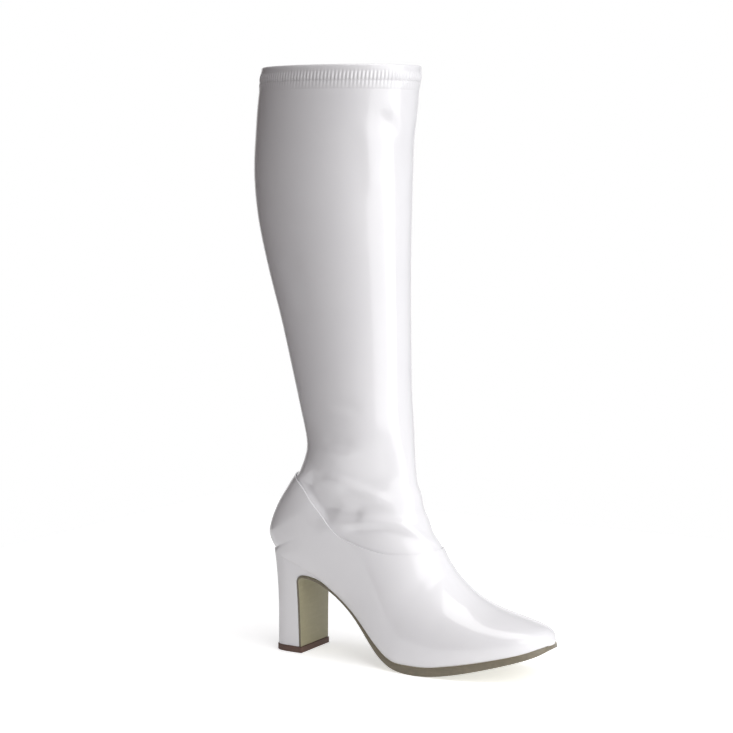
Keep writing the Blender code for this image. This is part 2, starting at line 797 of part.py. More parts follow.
def make_top_lift(finish):
    """The lift under the heel and flap, a little larger all round."""
    grow = (HEEL_WIDTH / 2 + LIFT_OVERHANG) / (HEEL_WIDTH / 2)
    reach = HEEL_HALF + LIFT_OVERHANG
    turns = [math.pi * k / HEEL_POINTS for k in range(HEEL_POINTS + 1)]
    outline = [outline_point(reach, -reach, 0.0, turn) for turn in turns]
    rings = [[(x, y * grow, z) for x, y in outline] for z in (0.0, LIFT_THICKNESS)]
    return solid("top_lift", *ring_stack(rings), finish)


def build():
    for old in list(bpy.data.objects):
        bpy.data.objects.remove(old, do_unlink=True)
    make_upper(material("stretch patent", (0.86, 0.86, 0.87), 0.12, coat=1.0))
    make_foot_cover(material("patent foot section", (0.86, 0.86, 0.87), 0.10, coat=1.0))
    make_insole(material("sock", (0.70, 0.68, 0.64), 0.70))
    make_outsole(material("leather board sole", (0.24, 0.21, 0.15), 0.60))
    make_heel_block(material("patent heel cover", (0.84, 0.84, 0.85), 0.12, coat=1.0))
    make_top_lift(material("lift rubber", (0.05, 0.035, 0.025), 0.55))


build()
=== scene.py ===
"""A white stretch-patent go go boot for the right foot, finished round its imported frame.

Metres, with +X to the toe, +Y to the boot's inner side and +Z up, as in the frame. The sections
below follow the boot as it is put together, from the shaft down to the lift.
"""

import math

import bmesh
import bpy
import numpy as np
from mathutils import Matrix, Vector


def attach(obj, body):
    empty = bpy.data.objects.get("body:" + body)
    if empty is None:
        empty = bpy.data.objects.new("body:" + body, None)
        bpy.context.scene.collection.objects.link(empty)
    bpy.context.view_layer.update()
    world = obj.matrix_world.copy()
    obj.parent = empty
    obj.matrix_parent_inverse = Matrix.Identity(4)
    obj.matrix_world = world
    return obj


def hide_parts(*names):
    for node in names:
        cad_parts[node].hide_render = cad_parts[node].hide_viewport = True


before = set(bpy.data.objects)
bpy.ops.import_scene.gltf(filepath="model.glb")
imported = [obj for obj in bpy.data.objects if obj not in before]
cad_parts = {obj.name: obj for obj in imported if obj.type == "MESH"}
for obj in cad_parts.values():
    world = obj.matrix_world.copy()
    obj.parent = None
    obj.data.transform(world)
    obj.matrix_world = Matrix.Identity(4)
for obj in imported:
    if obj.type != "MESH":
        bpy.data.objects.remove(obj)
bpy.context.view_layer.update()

# Camera
# The boot is seen from its outer side with the toe to the right, from just above the height of
# its middle. The field is the width that the square frame takes in at the boot.
AIM = Vector((0.0462, 0.0267, 0.2291))
AZIMUTH = math.radians(30.0)
ELEVATION = math.radians(5.95)
DISTANCE = 1.6
FIELD = 0.5897
SENSOR_MM = 36.0

back = Vector(
    (
        math.sin(AZIMUTH) * math.cos(ELEVATION),
        -math.cos(AZIMUTH) * math.cos(ELEVATION),
        math.sin(ELEVATION),
    )
)
bpy.ops.object.camera_add(location=AIM + back * DISTANCE)
camera = bpy.context.object
camera.name = "studio_camera"
camera.rotation_mode = "QUATERNION"
camera.rotation_quaternion = (-back).to_track_quat("-Z", "Y")
camera.data.sensor_width = SENSOR_MM
camera.data.lens = SENSOR_MM * DISTANCE / FIELD
camera.data.clip_end = 60.0
bpy.context.scene.camera = camera

# Stretch upper
# The shaft and the foot under it are one tube of stretch patent, a polyurethane film on knitted
# backing, drawn over the leg's form. A grid is laid on that form, and its folds are pressed in.
FOOT_LENGTH = 0.2460
BALL_WIDTH = 0.0734
HEEL_RISE = 0.075
TOE_SPRING = 0.0206
INSTEP_HEIGHT = 0.060
ANKLE_RISE = 0.088
ANKLE_DEPTH = 0.0885
ANKLE_WIDTH = 0.0730
SHAFT_RISE = 0.2960
CALF_DEPTH = 0.1362
CALF_WIDTH = 0.0966
HEEL_SET = 0.0236
SOLE_THICKNESS = 0.0070
UPPER_WALL = 0.0014
FIT = 0.0003
BACK = -HEEL_SET

# Underside of the last: shares of the foot's length, of the heel's rise and of the toe's spring.
BOTTOM_COLUMNS = ("along", "rise", "spring")
BOTTOM_ROWS = (
    (0.000, 1.010, 0.00),
    (0.062, 0.977, 0.00),
    (0.114, 0.927, 0.00),
    (0.174, 0.843, 0.00),
    (0.207, 0.790, 0.00),
    (0.240, 0.722, 0.00),
    (0.293, 0.603, 0.00),
    (0.356, 0.447, 0.00),
    (0.394, 0.327, 0.00),
    (0.442, 0.172, 0.00),
    (0.495, 0.046, 0.00),
    (0.542, 0.000, 0.00),
    (0.626, 0.000, 0.00),
    (0.705, 0.000, 0.13),
    (0.808, 0.000, 0.38),
    (0.910, 0.000, 0.67),
    (1.000, 0.000, 1.00),
)

# Arches of the foot, from the toe back to the seat, in shares of the foot's length (along, lead),
# of the ball's width (edge, swing, full, ridge) and of the instep's height (crown).
FOOT_COLUMNS = (
    "along", "edge", "swing", "lead", "crown", "full", "belly", "ridge", "low", "square",
)
FOOT_ROWS = (
    (1.0000, 0.000, 0.058, 0.000, 0.020, 0.000, 0.40, 0.058, 2.3, 2.20),
    (0.9955, 0.088, 0.058, 0.000, 0.095, 0.091, 0.40, 0.058, 2.3, 2.20),
    (0.9830, 0.170, 0.056, 0.000, 0.165, 0.175, 0.40, 0.056, 2.3, 2.20),
    (0.9600, 0.254, 0.053, 0.000, 0.235, 0.262, 0.38, 0.054, 2.3, 2.20),
    (0.9240, 0.334, 0.048, 0.002, 0.320, 0.345, 0.34, 0.052, 2.3, 2.15),
    (0.8640, 0.408, 0.041, 0.006, 0.445, 0.422, 0.30, 0.050, 2.3, 2.00),
    (0.7870, 0.470, 0.030, 0.014, 0.590, 0.486, 0.26, 0.050, 2.3, 1.95),
    (0.7055, 0.500, 0.018, 0.030, 0.775, 0.517, 0.24, 0.048, 2.3, 1.90),
    (0.6257, 0.492, -0.007, 0.060, 0.975, 0.512, 0.24, 0.042, 2.3, 1.88),
    (0.5430, 0.446, -0.035, 0.108, 1.135, 0.487, 0.28, 0.036, 2.3, 1.88),
    (0.5015, 0.411, -0.041, 0.136, 1.170, 0.471, 0.31, 0.033, 2.3, 1.89),
    (0.4600, 0.376, -0.041, 0.164, 1.142, 0.456, 0.34, 0.030, 2.3, 1.90),
    (0.3780, 0.326, -0.030, 0.226, 0.990, 0.440, 0.40, 0.022, 2.3, 1.92),
    (0.2965, 0.309, -0.014, 0.284, 0.877, 0.440, 0.44, 0.014, 2.3, 1.95),
    (0.2167, 0.323, -0.004, 0.346, 0.814, 0.448, 0.46, 0.008, 2.3, 2.00),
    (0.1452, 0.341, 0.000, 0.404, 0.818, 0.455, 0.46, 0.004, 2.3, 2.00),
    (0.0920, 0.335, 0.000, 0.448, 0.848, 0.459, 0.46, 0.000, 2.3, 2.00),
    (0.0580, 0.277, 0.000, 0.478, 0.872, 0.462, 0.46, 0.000, 2.3, 2.00),
    (0.0350, 0.190, 0.000, 0.497, 0.914, 0.464, 0.46, 0.000, 2.3, 2.00),
    (0.0235, 0.000, 0.000, 0.503, 0.966, 0.466, 0.46, 0.000, 2.3, 2.00),
)

# Rings from the seat up to the ankle, in shares of the ankle's rise, of the foot's length (shin)
# and of the ankle's width. tuck goes from the counter's back to the ankle's back.
ANKLE_COLUMNS = ("back", "front", "tuck", "shin", "width", "belly", "low", "square")
ANKLE_ROWS = (
    (0.100, 0.765, 0.022, 0.5210, 0.945, 0.46, 2.3, 2.0),
    (0.195, 0.820, 0.052, 0.5188, 0.955, 0.46, 2.3, 2.0),
    (0.300, 0.880, 0.150, 0.5164, 0.965, 0.47, 2.3, 2.0),
    (0.420, 0.950, 0.305, 0.5137, 0.975, 0.48, 2.3, 2.0),
    (0.560, 1.030, 0.530, 0.5107, 0.985, 0.49, 2.2, 2.0),
    (0.700, 1.110, 0.780, 0.5078, 0.992, 0.50, 2.2, 2.0),
    (0.840, 1.190, 0.950, 0.5049, 0.998, 0.50, 2.1, 2.0),
    (1.000, 1.290, 1.000, 0.5018, 1.000, 0.50, 2.0, 2.0),
)

# Rings of the shaft, in shares of its rise and of the foot's length (shin). depth and width go
# from the ankle's to the calf's.
SHAFT_COLUMNS = ("back", "front", "shin", "depth", "width", "belly", "low", "square")
SHAFT_ROWS = (
    (0.095, 0.150, 0.4979, 0.115, 0.040, 0.50, 2.0, 2.0),
    (0.200, 0.235, 0.4963, 0.270, 0.110, 0.50, 2.0, 2.0),
    (0.330, 0.345, 0.4944, 0.467, 0.250, 0.50, 2.0, 2.0),
    (0.470, 0.470, 0.4934, 0.712, 0.500, 0.50, 2.0, 2.0),
    (0.600, 0.600, 0.4947, 0.900, 0.800, 0.50, 2.0, 2.0),
    (0.720, 0.720, 0.4975, 0.983, 0.960, 0.50, 2.0, 2.0),
    (0.830, 0.830, 0.5071, 0.995, 1.000, 0.50, 2.0, 2.0),
    (0.920, 0.920, 0.5168, 0.990, 1.010, 0.50, 2.0, 2.0),
    (1.000, 1.000, 0.5236, 0.931, 0.950, 0.50, 2.0, 2.0),
)


def column(rows, columns, name):
    """One named column of a table."""
    place = columns.index(name)
    return [row[place] for row in rows]


def read(places, values, at):
    """A value of the smooth curve through a column's values, which never overshoots them."""
    at = min(max(at, places[0]), places[-1])
    steps = [(b - a) / (q - p) for a, b, p, q in zip(values, values[1:], places, places[1:])]
    middle = [0.0 if a * b <= 0 else 2 * a * b / (a + b) for a, b in zip(steps, steps[1:])]
    grade = [steps[0], *middle, steps[-1]]
    i = max(k for k in range(len(places) - 1) if places[k] <= at)
    width = places[i + 1] - places[i]
    t = (at - places[i]) / width
    return (
        values[i] * (1 + 2 * t) * (1 - t) ** 2
        + grade[i] * width * t * (1 - t) ** 2
        + values[i + 1] * t * t * (3 - 2 * t)
        + grade[i + 1] * width * t * t * (t - 1)
    )


def mix(low, high, share):
    return low + (high - low) * share


def bottom(x):
    """Height of the last's underside, which is the sole's upper face."""
    places = column(BOTTOM_ROWS, BOTTOM_COLUMNS, "along")
    along = (x - BACK) / FOOT_LENGTH
    rise = read(places, column(BOTTOM_ROWS, BOTTOM_COLUMNS, "rise"), along)
    spring = read(places, column(BOTTOM_ROWS, BOTTOM_COLUMNS, "spring"), along)
    return SOLE_THICKNESS + HEEL_RISE * rise + TOE_SPRING * spring


SEAT = bottom(BACK)
ANKLE = SEAT + ANKLE_RISE
COLLAR = ANKLE + SHAFT_RISE
ANKLE_BACK = BACK + ANKLE_ROWS[-1][ANKLE_COLUMNS.index("shin")] * FOOT_LENGTH - ANKLE_DEPTH


def foot_section(given):
    """An arch that springs from both edges of the last's underside."""
    x = BACK + given["along"] * FOOT_LENGTH
    z = bottom(x) + FIT
    sizes = {name: given[name] * BALL_WIDTH for name in ("edge", "full", "swing", "ridge")}
    crown = (x + given["lead"] * FOOT_LENGTH, z + given["crown"] * INSTEP_HEIGHT)
    return given | sizes | {"base": (x, z), "crown": crown}


def ring_section(given, back_point, shin_point, width):
    """A closed ring between a point on the back of the leg and one on the shin."""
    middle = {"edge": 0.0, "swing": 0.0, "ridge": 0.0, "full": width / 2}
    return given | middle | {"base": back_point, "crown": shin_point}


def ankle_section(given):
    shin = BACK + given["shin"] * FOOT_LENGTH
    low = (mix(BACK, ANKLE_BACK, given["tuck"]), SEAT + given["back"] * ANKLE_RISE)
    high = (shin, SEAT + given["front"] * ANKLE_RISE)
    return ring_section(given, low, high, given["width"] * ANKLE_WIDTH)


def shaft_section(given):
    shin = BACK + given["shin"] * FOOT_LENGTH
    depth = mix(ANKLE_DEPTH, CALF_DEPTH, given["depth"])
    low = (shin - depth, ANKLE + given["back"] * SHAFT_RISE)
    high = (shin, ANKLE + given["front"] * SHAFT_RISE)
    return ring_section(given, low, high, mix(ANKLE_WIDTH, CALF_WIDTH, given["width"]))


SECTIONS = [foot_section(dict(zip(FOOT_COLUMNS, row))) for row in FOOT_ROWS]
SECTIONS += [ankle_section(dict(zip(ANKLE_COLUMNS, row))) for row in ANKLE_ROWS]
SECTIONS += [shaft_section(dict(zip(SHAFT_COLUMNS, row))) for row in SHAFT_ROWS]
CLOSING = len(FOOT_ROWS) - 1
ANKLE_TOP = CLOSING + len(ANKLE_ROWS)
LAST = len(SECTIONS) - 1
LEAST = 1e-6
CURVE_POINTS = 64


def through(a, b, c, d, t):
    """A point on the smooth curve that passes through b at 0 and c at 1."""
    return 0.5 * (
        2 * b + (c - a) * t + (2 * a - 5 * b + 4 * c - d) * t * t + (3 * b - a - 3 * c + d) * t**3
    )


def section(place):
    """Sizes of the section at a place counted in rows, read from the four rows round it."""
    i = min(int(place), LAST - 1)
    near = [SECTIONS[min(max(k, 0), LAST)] for k in (i - 1, i, i + 1, i + 2)]
    found = {}
    for name in ("edge", "full", "swing", "ridge", "belly", "low", "square"):
        found[name] = through(*(row[name] for row in near), place - i)
    for name in ("base", "crown"):
        found[name] = tuple(through(*(row[name][k] for row in near), place - i) for k in (0, 1))
    if place < CLOSING:
        x = found["base"][0]
        found["base"] = (x, bottom(x) + FIT)
        found["edge"] = min(max(found["edge"], 0.0), found["full"])
    else:
        found["edge"] = 0.0
    return found


def half_curve(sizes):
    """One side of a section from its edge to its crown, as (share of the way up, half-width)."""
    full, low, belly = sizes["full"], sizes["low"], sizes["belly"]
    cut = max(1 - (sizes["edge"] / full) ** low, LEAST) ** (1 / low)
    turn = math.asin(min(cut ** (low / 2), 1.0))
    power = 2 / sizes["square"]
    curve = []
    for k in range(CURVE_POINTS + 1):
        angle = turn * (1 - k / CURVE_POINTS)
        down = math.sin(angle) ** (2 / low)
        curve.append((belly * (1 - down / cut), full * math.cos(angle) ** (2 / low)))
    for k in range(1, CURVE_POINTS):
        angle = math.pi / 2 * k / CURVE_POINTS
        curve.append((mix(belly, 1.0, math.sin(angle) ** power), full * math.cos(angle) ** power))
    return [*curve, (1.0, 0.0)]


def section_line(place, across):
    """Evenly spaced points over a section, up its outer side and down its inner one."""
    sizes = section(place)
    (bx, bz), (tx, tz) = sizes["base"], sizes["crown"]
    if sizes["full"] < LEAST:
        return [(bx, sizes["swing"], bz)] * (across + 1)
    halves = []
    for side in (-1, 1):
        line = []
        for up, half in half_curve(sizes):
            y = mix(sizes["swing"], sizes["ridge"], up) + side * half
            line.append((mix(bx, tx, up), y, mix(bz, tz, up)))
        line = np.array(line)
        run = np.concatenate([[0.0], np.cumsum(np.linalg.norm(np.diff(line, axis=0), axis=1))])
        goals = np.linspace(0.0, run[-1], across // 2 + 1)
        halves.append(np.stack([np.interp(goals, run, line[:, axis]) for axis in range(3)], 1))
    return [tuple(point) for point in np.concatenate([halves[0], halves[1][-2::-1]])]


def places_between(first, last, spacing):
    """Places from one row to another, about as far apart as the spacing."""
    places = []
    for k in range(first, last):
        low, high = section(k), section(k + 1)
        run = max(math.dist(low[name], high[name]) for name in ("base", "crown"))
        steps = max(round(run / spacing), 1)
        places += [k + step / steps for step in range(steps)]
    return places


def grid_on_form(name, places, across):
    """A grid primitive laid on the form: a row for each place and a column for each point of it."""
    bpy.ops.object.select_all(action="DESELECT")
    bpy.ops.mesh.primitive_grid_add(size=1, x_subdivisions=across, y_subdivisions=len(places) - 1)
    piece = bpy.context.object
    piece.name = name
    lines = [section_line(place, across) for place in places]
    for vertex in piece.data.vertices:
        row = round((vertex.co.y + 0.5) * (len(places) - 1))
        vertex.co = lines[row][round((vertex.co.x + 0.5) * across)]
    bpy.ops.object.mode_set(mode="EDIT")
    bpy.ops.mesh.select_all(action="SELECT")
    bpy.ops.mesh.remove_doubles(threshold=LEAST)
    bpy.ops.mesh.normals_make_consistent(inside=False)
    bpy.ops.object.mode_set(mode="OBJECT")
    return piece


def relax(piece, repeats):
    """Eases the surface inside its open edges."""
    bpy.ops.object.mode_set(mode="EDIT")
    work = bmesh.from_edit_mesh(piece.data)
    for vertex in work.verts:
        vertex.select = not vertex.is_boundary
    work.select_flush_mode()
    bmesh.update_edit_mesh(piece.data)
    bpy.ops.mesh.vertices_smooth(factor=0.5, repeat=repeats)
    bpy.ops.object.mode_set(mode="OBJECT")


def coordinates(piece):
    found = np.empty(len(piece.data.vertices) * 3)
    piece.data.vertices.foreach_get("co", found)
    return found.reshape(-1, 3)


def vertex_normals(piece):
    found = np.empty(len(piece.data.vertices) * 3, np.float32)
    piece.data.vertex_normals.foreach_get("vector", found)
    return found.reshape(-1, 3)


# Soft folds where the patent breaks over the ankle and where the shaft is slack. Each follows a
# line over the boot, then has a width and a height, all in millimetres. It is a ridge or, with a
# height below 0, a trough.
FOLDS = (
    (((36, -35, 208), (59, -36, 205), (78, -31, 202)), 5.0, -0.45),
    (((40, -35, 202), (59, -36, 199), (76, -32, 196)), 5.0, 0.40),
    (((41, -35, 177), (59, -36, 176), (71, -34, 174)), 4.5, -0.55),
    (((39, -34, 170), (57, -36, 168), (74, -33, 165)), 5.0, 0.45),
    (((40, -35, 148), (61, -33, 144), (84, -25, 134), (98, -18, 128)), 4.5, 2.10),
    (((36, -34, 146), (50, -35, 140), (62, -33, 136)), 3.0, 0.80),
    (((16, -33, 147), (26, -35, 139), (34, -35, 130), (42, -35, 120), (52, -34, 111)), 13.0, -5.20),
    (((44, -35, 124), (54, -33, 121), (66, -32, 119), (78, -29, 118)), 6.0, -1.90),
    (((48, -34, 112), (66, -32, 114), (86, -27, 115), (103, -19, 113), (119, -8, 101), (126, 4, 94)),
     4.0, 2.10),
    (((58, -33, 106), (78, -30, 107), (93, -25, 108), (108, -16, 104)), 3.0, -1.40),
    (((112, -14, 112), (118, 0, 106), (118, 12, 104), (108, 22, 108)), 6.0, -0.80),
    (((100, -17, 134), (107, 0, 130), (100, 18, 134), (84, 26, 138)), 7.0, 0.90),
    (((102, -16, 123), (110, 0, 120), (103, 18, 122), (86, 26, 126)), 5.0, -0.90),
    (((40, 35, 146), (61, 33, 142), (82, 26, 134)), 5.5, 1.00),
    (((40, 34, 132), (56, 33, 125), (72, 30, 122)), 6.0, -1.10),
    (((52, 33, 113), (72, 31, 113), (92, 25, 113), (108, 17, 107)), 5.0, 0.90),
    (((22, -31, 152), (12, -24, 150), (4, -12, 149)), 4.0, -0.70),
    (((22, -32, 144), (10, -26, 141), (0, -14, 140)), 3.5, 0.60),
    (((21, 32, 150), (12, 25, 147), (4, 12, 147)), 4.0, -0.60),
    (((86, -31, 438), (92, -24, 424), (98, -12, 410), (99, -4, 392), (98, 4, 374)), 7.0, -1.10),
    (((77, -37, 428), (82, -32, 408), (84, -30, 386), (83, -30, 362)), 6.5, 0.70),
    (((95, -22, 440), (101, -9, 424), (101, 2, 408)), 6.0, 0.60),
    (((90, 28, 432), (97, 14, 410), (99, 6, 388)), 9.0, -0.70),
    (((14, -40, 330), (22, -44, 300), (34, -42, 268)), 9.0, -0.50),
)
TAPER = 0.28
MM = 0.001

# Top edge of the foot section, which is lapped over this piece, in side view. rise is a share of
# the ankle's rise. Under the foot section the folds are flatter.
TOP_LINE_COLUMNS = ("along", "rise")
TOP_LINE_ROWS = (
    (0.080, 0.715),
    (0.145, 0.690),
    (0.185, 0.620),
    (0.217, 0.510),
    (0.250, 0.405),
    (0.286, 0.300),
    (0.322, 0.215),
    (0.358, 0.170),
    (0.430, 0.116),
    (0.493, 0.085),
    (0.552, 0.078),
    (0.603, 0.098),
    (0.715, 0.170),
)


def top_line(x):
    """Height of the foot section's top edge in side view."""
    places = column(TOP_LINE_ROWS, TOP_LINE_COLUMNS, "along")
    rises = column(TOP_LINE_ROWS, TOP_LINE_COLUMNS, "rise")
    return SEAT + read(places, rises, (x - BACK) / FOOT_LENGTH) * ANKLE_RISE


def ease(value):
    value = np.clip(value, 0.0, 1.0)
    return value * value * (3 - 2 * value)


def fold_heights(points):
    """How far the folds lift each point."""
    lift = np.zeros(len(points))
    for line, width, height in FOLDS:
        spots = np.array(line, float) * MM
        lengths = np.linalg.norm(np.diff(spots, axis=0), axis=1)
        before = np.concatenate([[0.0], np.cumsum(lengths)])
        nearest = np.full(len(points), np.inf)
        along = np.zeros(len(points))
        for start, way, length, run in zip(spots, np.diff(spots, axis=0), lengths, before):
            share = np.clip((points - start) @ way / length**2, 0.0, 1.0)
            away = np.linalg.norm(points - start - share[:, None] * way, axis=1)
            closer = away < nearest
            nearest = np.where(closer, away, nearest)
            along = np.where(closer, (run + share * length) / before[-1], along)
        ends = ease(np.minimum(along, 1 - along) / TAPER)
        lift += height * MM * ends * np.exp(-((nearest / (width * MM)) ** 2))
    return lift


def top_line_share(points, run_mm):
    """0 under the foot section's top line, and 1 where a point is clear of it."""
    line = np.array([top_line(x) for x in points[:, 0]])
    return ease((points[:, 2] - line) / (run_mm * MM))


def lift_points(piece, heights):
    """Moves each point along its normal."""
    moved = coordinates(piece) + vertex_normals(piece) * heights[:, None]
    piece.data.vertices.foreach_set("co", moved.ravel())
    piece.data.update()


def finish_mesh(piece, crease_degrees=40.0):
    """Applies the piece's modifiers and shades it smooth up to its sharp edges."""
    bpy.ops.object.select_all(action="DESELECT")
    piece.select_set(True)
    bpy.context.view_layer.objects.active = piece
    for modifier in list(piece.modifiers):
        bpy.ops.object.modifier_apply(modifier=modifier.name)
    bpy.ops.object.shade_smooth_by_angle(angle=math.radians(crease_degrees))


# The grid is coarse in the forefoot, which the foot section hides, and fine at the ankle's folds.
# Its top row stands inside the hem.
TUBE_ACROSS = 140
HIDDEN_ROWS = 8
HIDDEN_SPACING = 0.006
ANKLE_SPACING = 0.0016
SHAFT_SPACING = 0.003
TUBE_TOP = LAST - 0.25
RELAXING = 6
UNDER_COVER = 0.35
EDGE_RUN_MM = 3.0

tube_places = places_between(0, HIDDEN_ROWS, HIDDEN_SPACING)
tube_places += places_between(HIDDEN_ROWS, ANKLE_TOP + 1, ANKLE_SPACING)
tube_places += places_between(ANKLE_TOP + 1, LAST, SHAFT_SPACING)
tube_places.append(TUBE_TOP)
tube_places = sorted(place for place in tube_places if place <= TUBE_TOP)
upper = grid_on_form("stretch_upper", tube_places, TUBE_ACROSS)
relax(upper, RELAXING)
form = coordinates(upper)
clear = top_line_share(form, EDGE_RUN_MM)
lift_points(upper, fold_heights(form) * mix(UNDER_COVER, 1.0, clear))
relax(upper, 1)


def linear(colour):
    """The linear value of an sRGB hex colour."""
    parts = [int(colour[k : k + 2], 16) / 255 for k in (1, 3, 5)]
    spread = [c / 12.92 if c <= 0.04045 else ((c + 0.055) / 1.055) ** 2.4 for c in parts]
    return (*spread, 1.0)


def node(tree, kind, inputs=None, **settings):
    """Adds a node, sets it, and fills each named input with a value or another node's output."""
    made = tree.nodes.new("ShaderNode" + kind)
    for name, value in settings.items():
        setattr(made, name, value)
    for name, value in (inputs or {}).items():
        if isinstance(value, bpy.types.NodeSocket):
            tree.links.new(value, made.inputs[name])
        else:
            made.inputs[name].default_value = value
    return made


def new_material(name, **sockets):
    """A material's tree, its shader and the piece's own coordinates."""
    made = bpy.data.materials.new(name)
    made.use_nodes = True
    shader = made.node_tree.nodes["Principled BSDF"]
    for socket, value in sockets.items():
        shader.inputs[socket.replace("_", " ")].default_value = value
    place = node(made.node_tree, "TexCoord").outputs["Object"]
    return made, made.node_tree, shader, place


CLOUD_MM = 45
PEEL_MM = 1.6
PEEL_DEPTH_MM = 0.012


def patent(name, colour, shade, ripple_mm, ripple_depth_mm):
    """Patent: a clear polyurethane film over a white one, cast smooth. The film gives a mirror
    gloss that the faint orange peel and the stretch of the backing ripple a little."""
    made, tree, shader, place = new_material(
        name,
        Roughness=0.34,
        IOR=1.46,
        Coat_Weight=1.0,
        Coat_Roughness=0.035,
        Coat_IOR=1.52,
    )
    cloud = node(tree, "TexNoise", {"Vector": place, "Scale": 1 / (CLOUD_MM * MM), "Detail": 2.0})
    tint = node(tree, "Mix", {"Factor": cloud.outputs["Fac"]}, data_type="RGBA")
    tint.inputs["A"].default_value = linear(colour)
    tint.inputs["B"].default_value = linear(shade)
    tree.links.new(tint.outputs["Result"], shader.inputs["Base Color"])
    ripple = node(tree, "TexNoise", {"Vector": place, "Scale": 1 / (ripple_mm * MM), "Detail": 1.0})
    peel = node(tree, "TexNoise", {"Vector": place, "Scale": 1 / (PEEL_MM * MM), "Detail": 1.0})
    waves = node(tree, "Bump", {"Height": ripple.outputs["Fac"], "Distance": ripple_depth_mm * MM})
    grain = node(
        tree,
        "Bump",
        {
            "Height": peel.outputs["Fac"],
            "Distance": PEEL_DEPTH_MM * MM,
            "Normal": waves.outputs["Normal"],
        },
    )
    tree.links.new(grain.outputs["Normal"], shader.inputs["Normal"])
    tree.links.new(grain.outputs["Normal"], shader.inputs["Coat Normal"])
    return made


def knit_backing(name):
    """Tricot: the film's knitted back, brushed and matt, with ribs finer than a millimetre, drawn
    at 1.1 mm so that they show."""
    made, tree, shader, place = new_material(name, Roughness=0.92, Sheen_Weight=0.25)
    shader.inputs["Base Color"].default_value = linear("#d9d6d1")
    rib = node(
        tree,
        "TexWave",
        {"Vector": place, "Scale": 1 / (1.1 * MM) / (2 * math.pi), "Distortion": 1.5},
        bands_direction="DIAGONAL",
    )
    bump = node(tree, "Bump", {"Height": rib.outputs["Fac"], "Distance": 0.15 * MM})
    tree.links.new(bump.outputs["Normal"], shader.inputs["Normal"])
    return made


stretch_patent = patent("stretch patent", "#f1f0f2", "#eae9ec", 22.0, 0.10)
lining = knit_backing("tricot backing")

wall = upper.modifiers.new("wall", "SOLIDIFY")
wall.thickness = UPPER_WALL
wall.offset = -1.0
wall.use_even_offset = True
wall.material_offset = 1
upper.data.materials.append(stretch_patent)
upper.data.materials.append(lining)
finish_mesh(upper)
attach(upper, "root")
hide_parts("upper")

# Collar hem
# The top of the shaft is folded in over a flat elastic and sewn down 12 mm below the fold, so the
# film gathers in small even ribs above and below the stitches. A ring is swept up the outside,
# over the fold and down inside.
HEM_STEP = 0.0006
RIB_PITCH = 0.0029
POINTS_A_RIB = 6
HEM_REACH = 0.0190
FOLD_ROWS = 8
INSIDE_ROWS = 8
INSIDE_RIB = 0.12 * MM
INSIDE_EDGE = 0.2 * MM

# Down the outside of the hem, in mm: depth below the fold, how far the face stands out from the
# form, and the height of the ribs.
HEM_ROWS = (
    (1.2, 0.60, 0.00),
    (2.2, 0.62, 0.00),
    (3.4, 0.60, 0.00),
    (4.4, 0.52, 0.03),
    (5.0, 0.46, 0.08),
    (5.8, 0.52, 0.17),
    (6.8, 0.60, 0.22),
    (8.0, 0.62, 0.24),
    (9.2, 0.60, 0.24),
    (10.2, 0.52, 0.22),
    (11.0, 0.38, 0.17),
    (11.6, 0.22, 0.12),
    (12.0, 0.12, 0.10),
    (12.5, 0.13, 0.12),
    (13.2, 0.18, 0.14),
    (14.2, 0.18, 0.12),
    (15.4, 0.14, 0.08),
    (16.6, 0.08, 0.04),
    (17.8, 0.00, 0.01),
    (19.0, -0.20, 0.00),
)
around = sum(math.dist(a, b) for a, b in zip(*[section_line(LAST, 200)[k:] for k in (0, 1)]))
rib_count = 2 * round(around / RIB_PITCH / 2)
hem_columns = rib_count * POINTS_A_RIB
ribs = np.cos(2 * math.pi * np.arange(hem_columns) / POINTS_A_RIB)


def place_at(height):
    """The place, in rows, whose back point lies at a height on the shaft."""
    low, high = float(ANKLE_TOP), float(LAST)
    for _ in range(30):
        middle = (low + high) / 2
        low, high = (middle, high) if section(middle)["base"][1] < height else (low, middle)
    return low


def hem_ring(height, offset):
    """A level ring of the shaft at a height, moved out by a distance for each of its points."""
    line = np.array(section_line(place_at(min(height, COLLAR)), hem_columns)[:-1])
    along = np.roll(line, -1, axis=0) - np.roll(line, 1, axis=0)
    normal = np.stack([-along[:, 1], along[:, 0], np.zeros(len(line))], 1)
    normal /= np.linalg.norm(normal, axis=1)[:, None]
    if (normal[hem_columns // 4] @ (line[hem_columns // 4] - line.mean(axis=0))) < 0:
        normal = -normal
    ring = line + normal * offset[:, None]
    ring[:, 2] = height
    return ring


outside = HEM_STEP
inside = -(UPPER_WALL + HEM_STEP)
half_wall = (outside - inside) / 2
hem_rings = []
for depth, out, rib in reversed(HEM_ROWS):
    hem_rings.append(hem_ring(COLLAR - depth * MM, (out + rib * ribs) * MM))
for k in range(1, FOLD_ROWS):
    angle = math.pi * k / FOLD_ROWS
    middle = (outside + inside) / 2
    height = COLLAR - half_wall + half_wall * math.sin(angle)
    hem_rings.append(hem_ring(height, np.full(hem_columns, middle + half_wall * math.cos(angle))))
for k in range(INSIDE_ROWS + 1):
    share = k / INSIDE_ROWS
    height = COLLAR - half_wall - (HEM_REACH - half_wall) * share
    depth = inside + (HEM_STEP - INSIDE_EDGE) * share
    hem_rings.append(hem_ring(height, depth - INSIDE_RIB * ribs * math.sin(math.pi * share)))

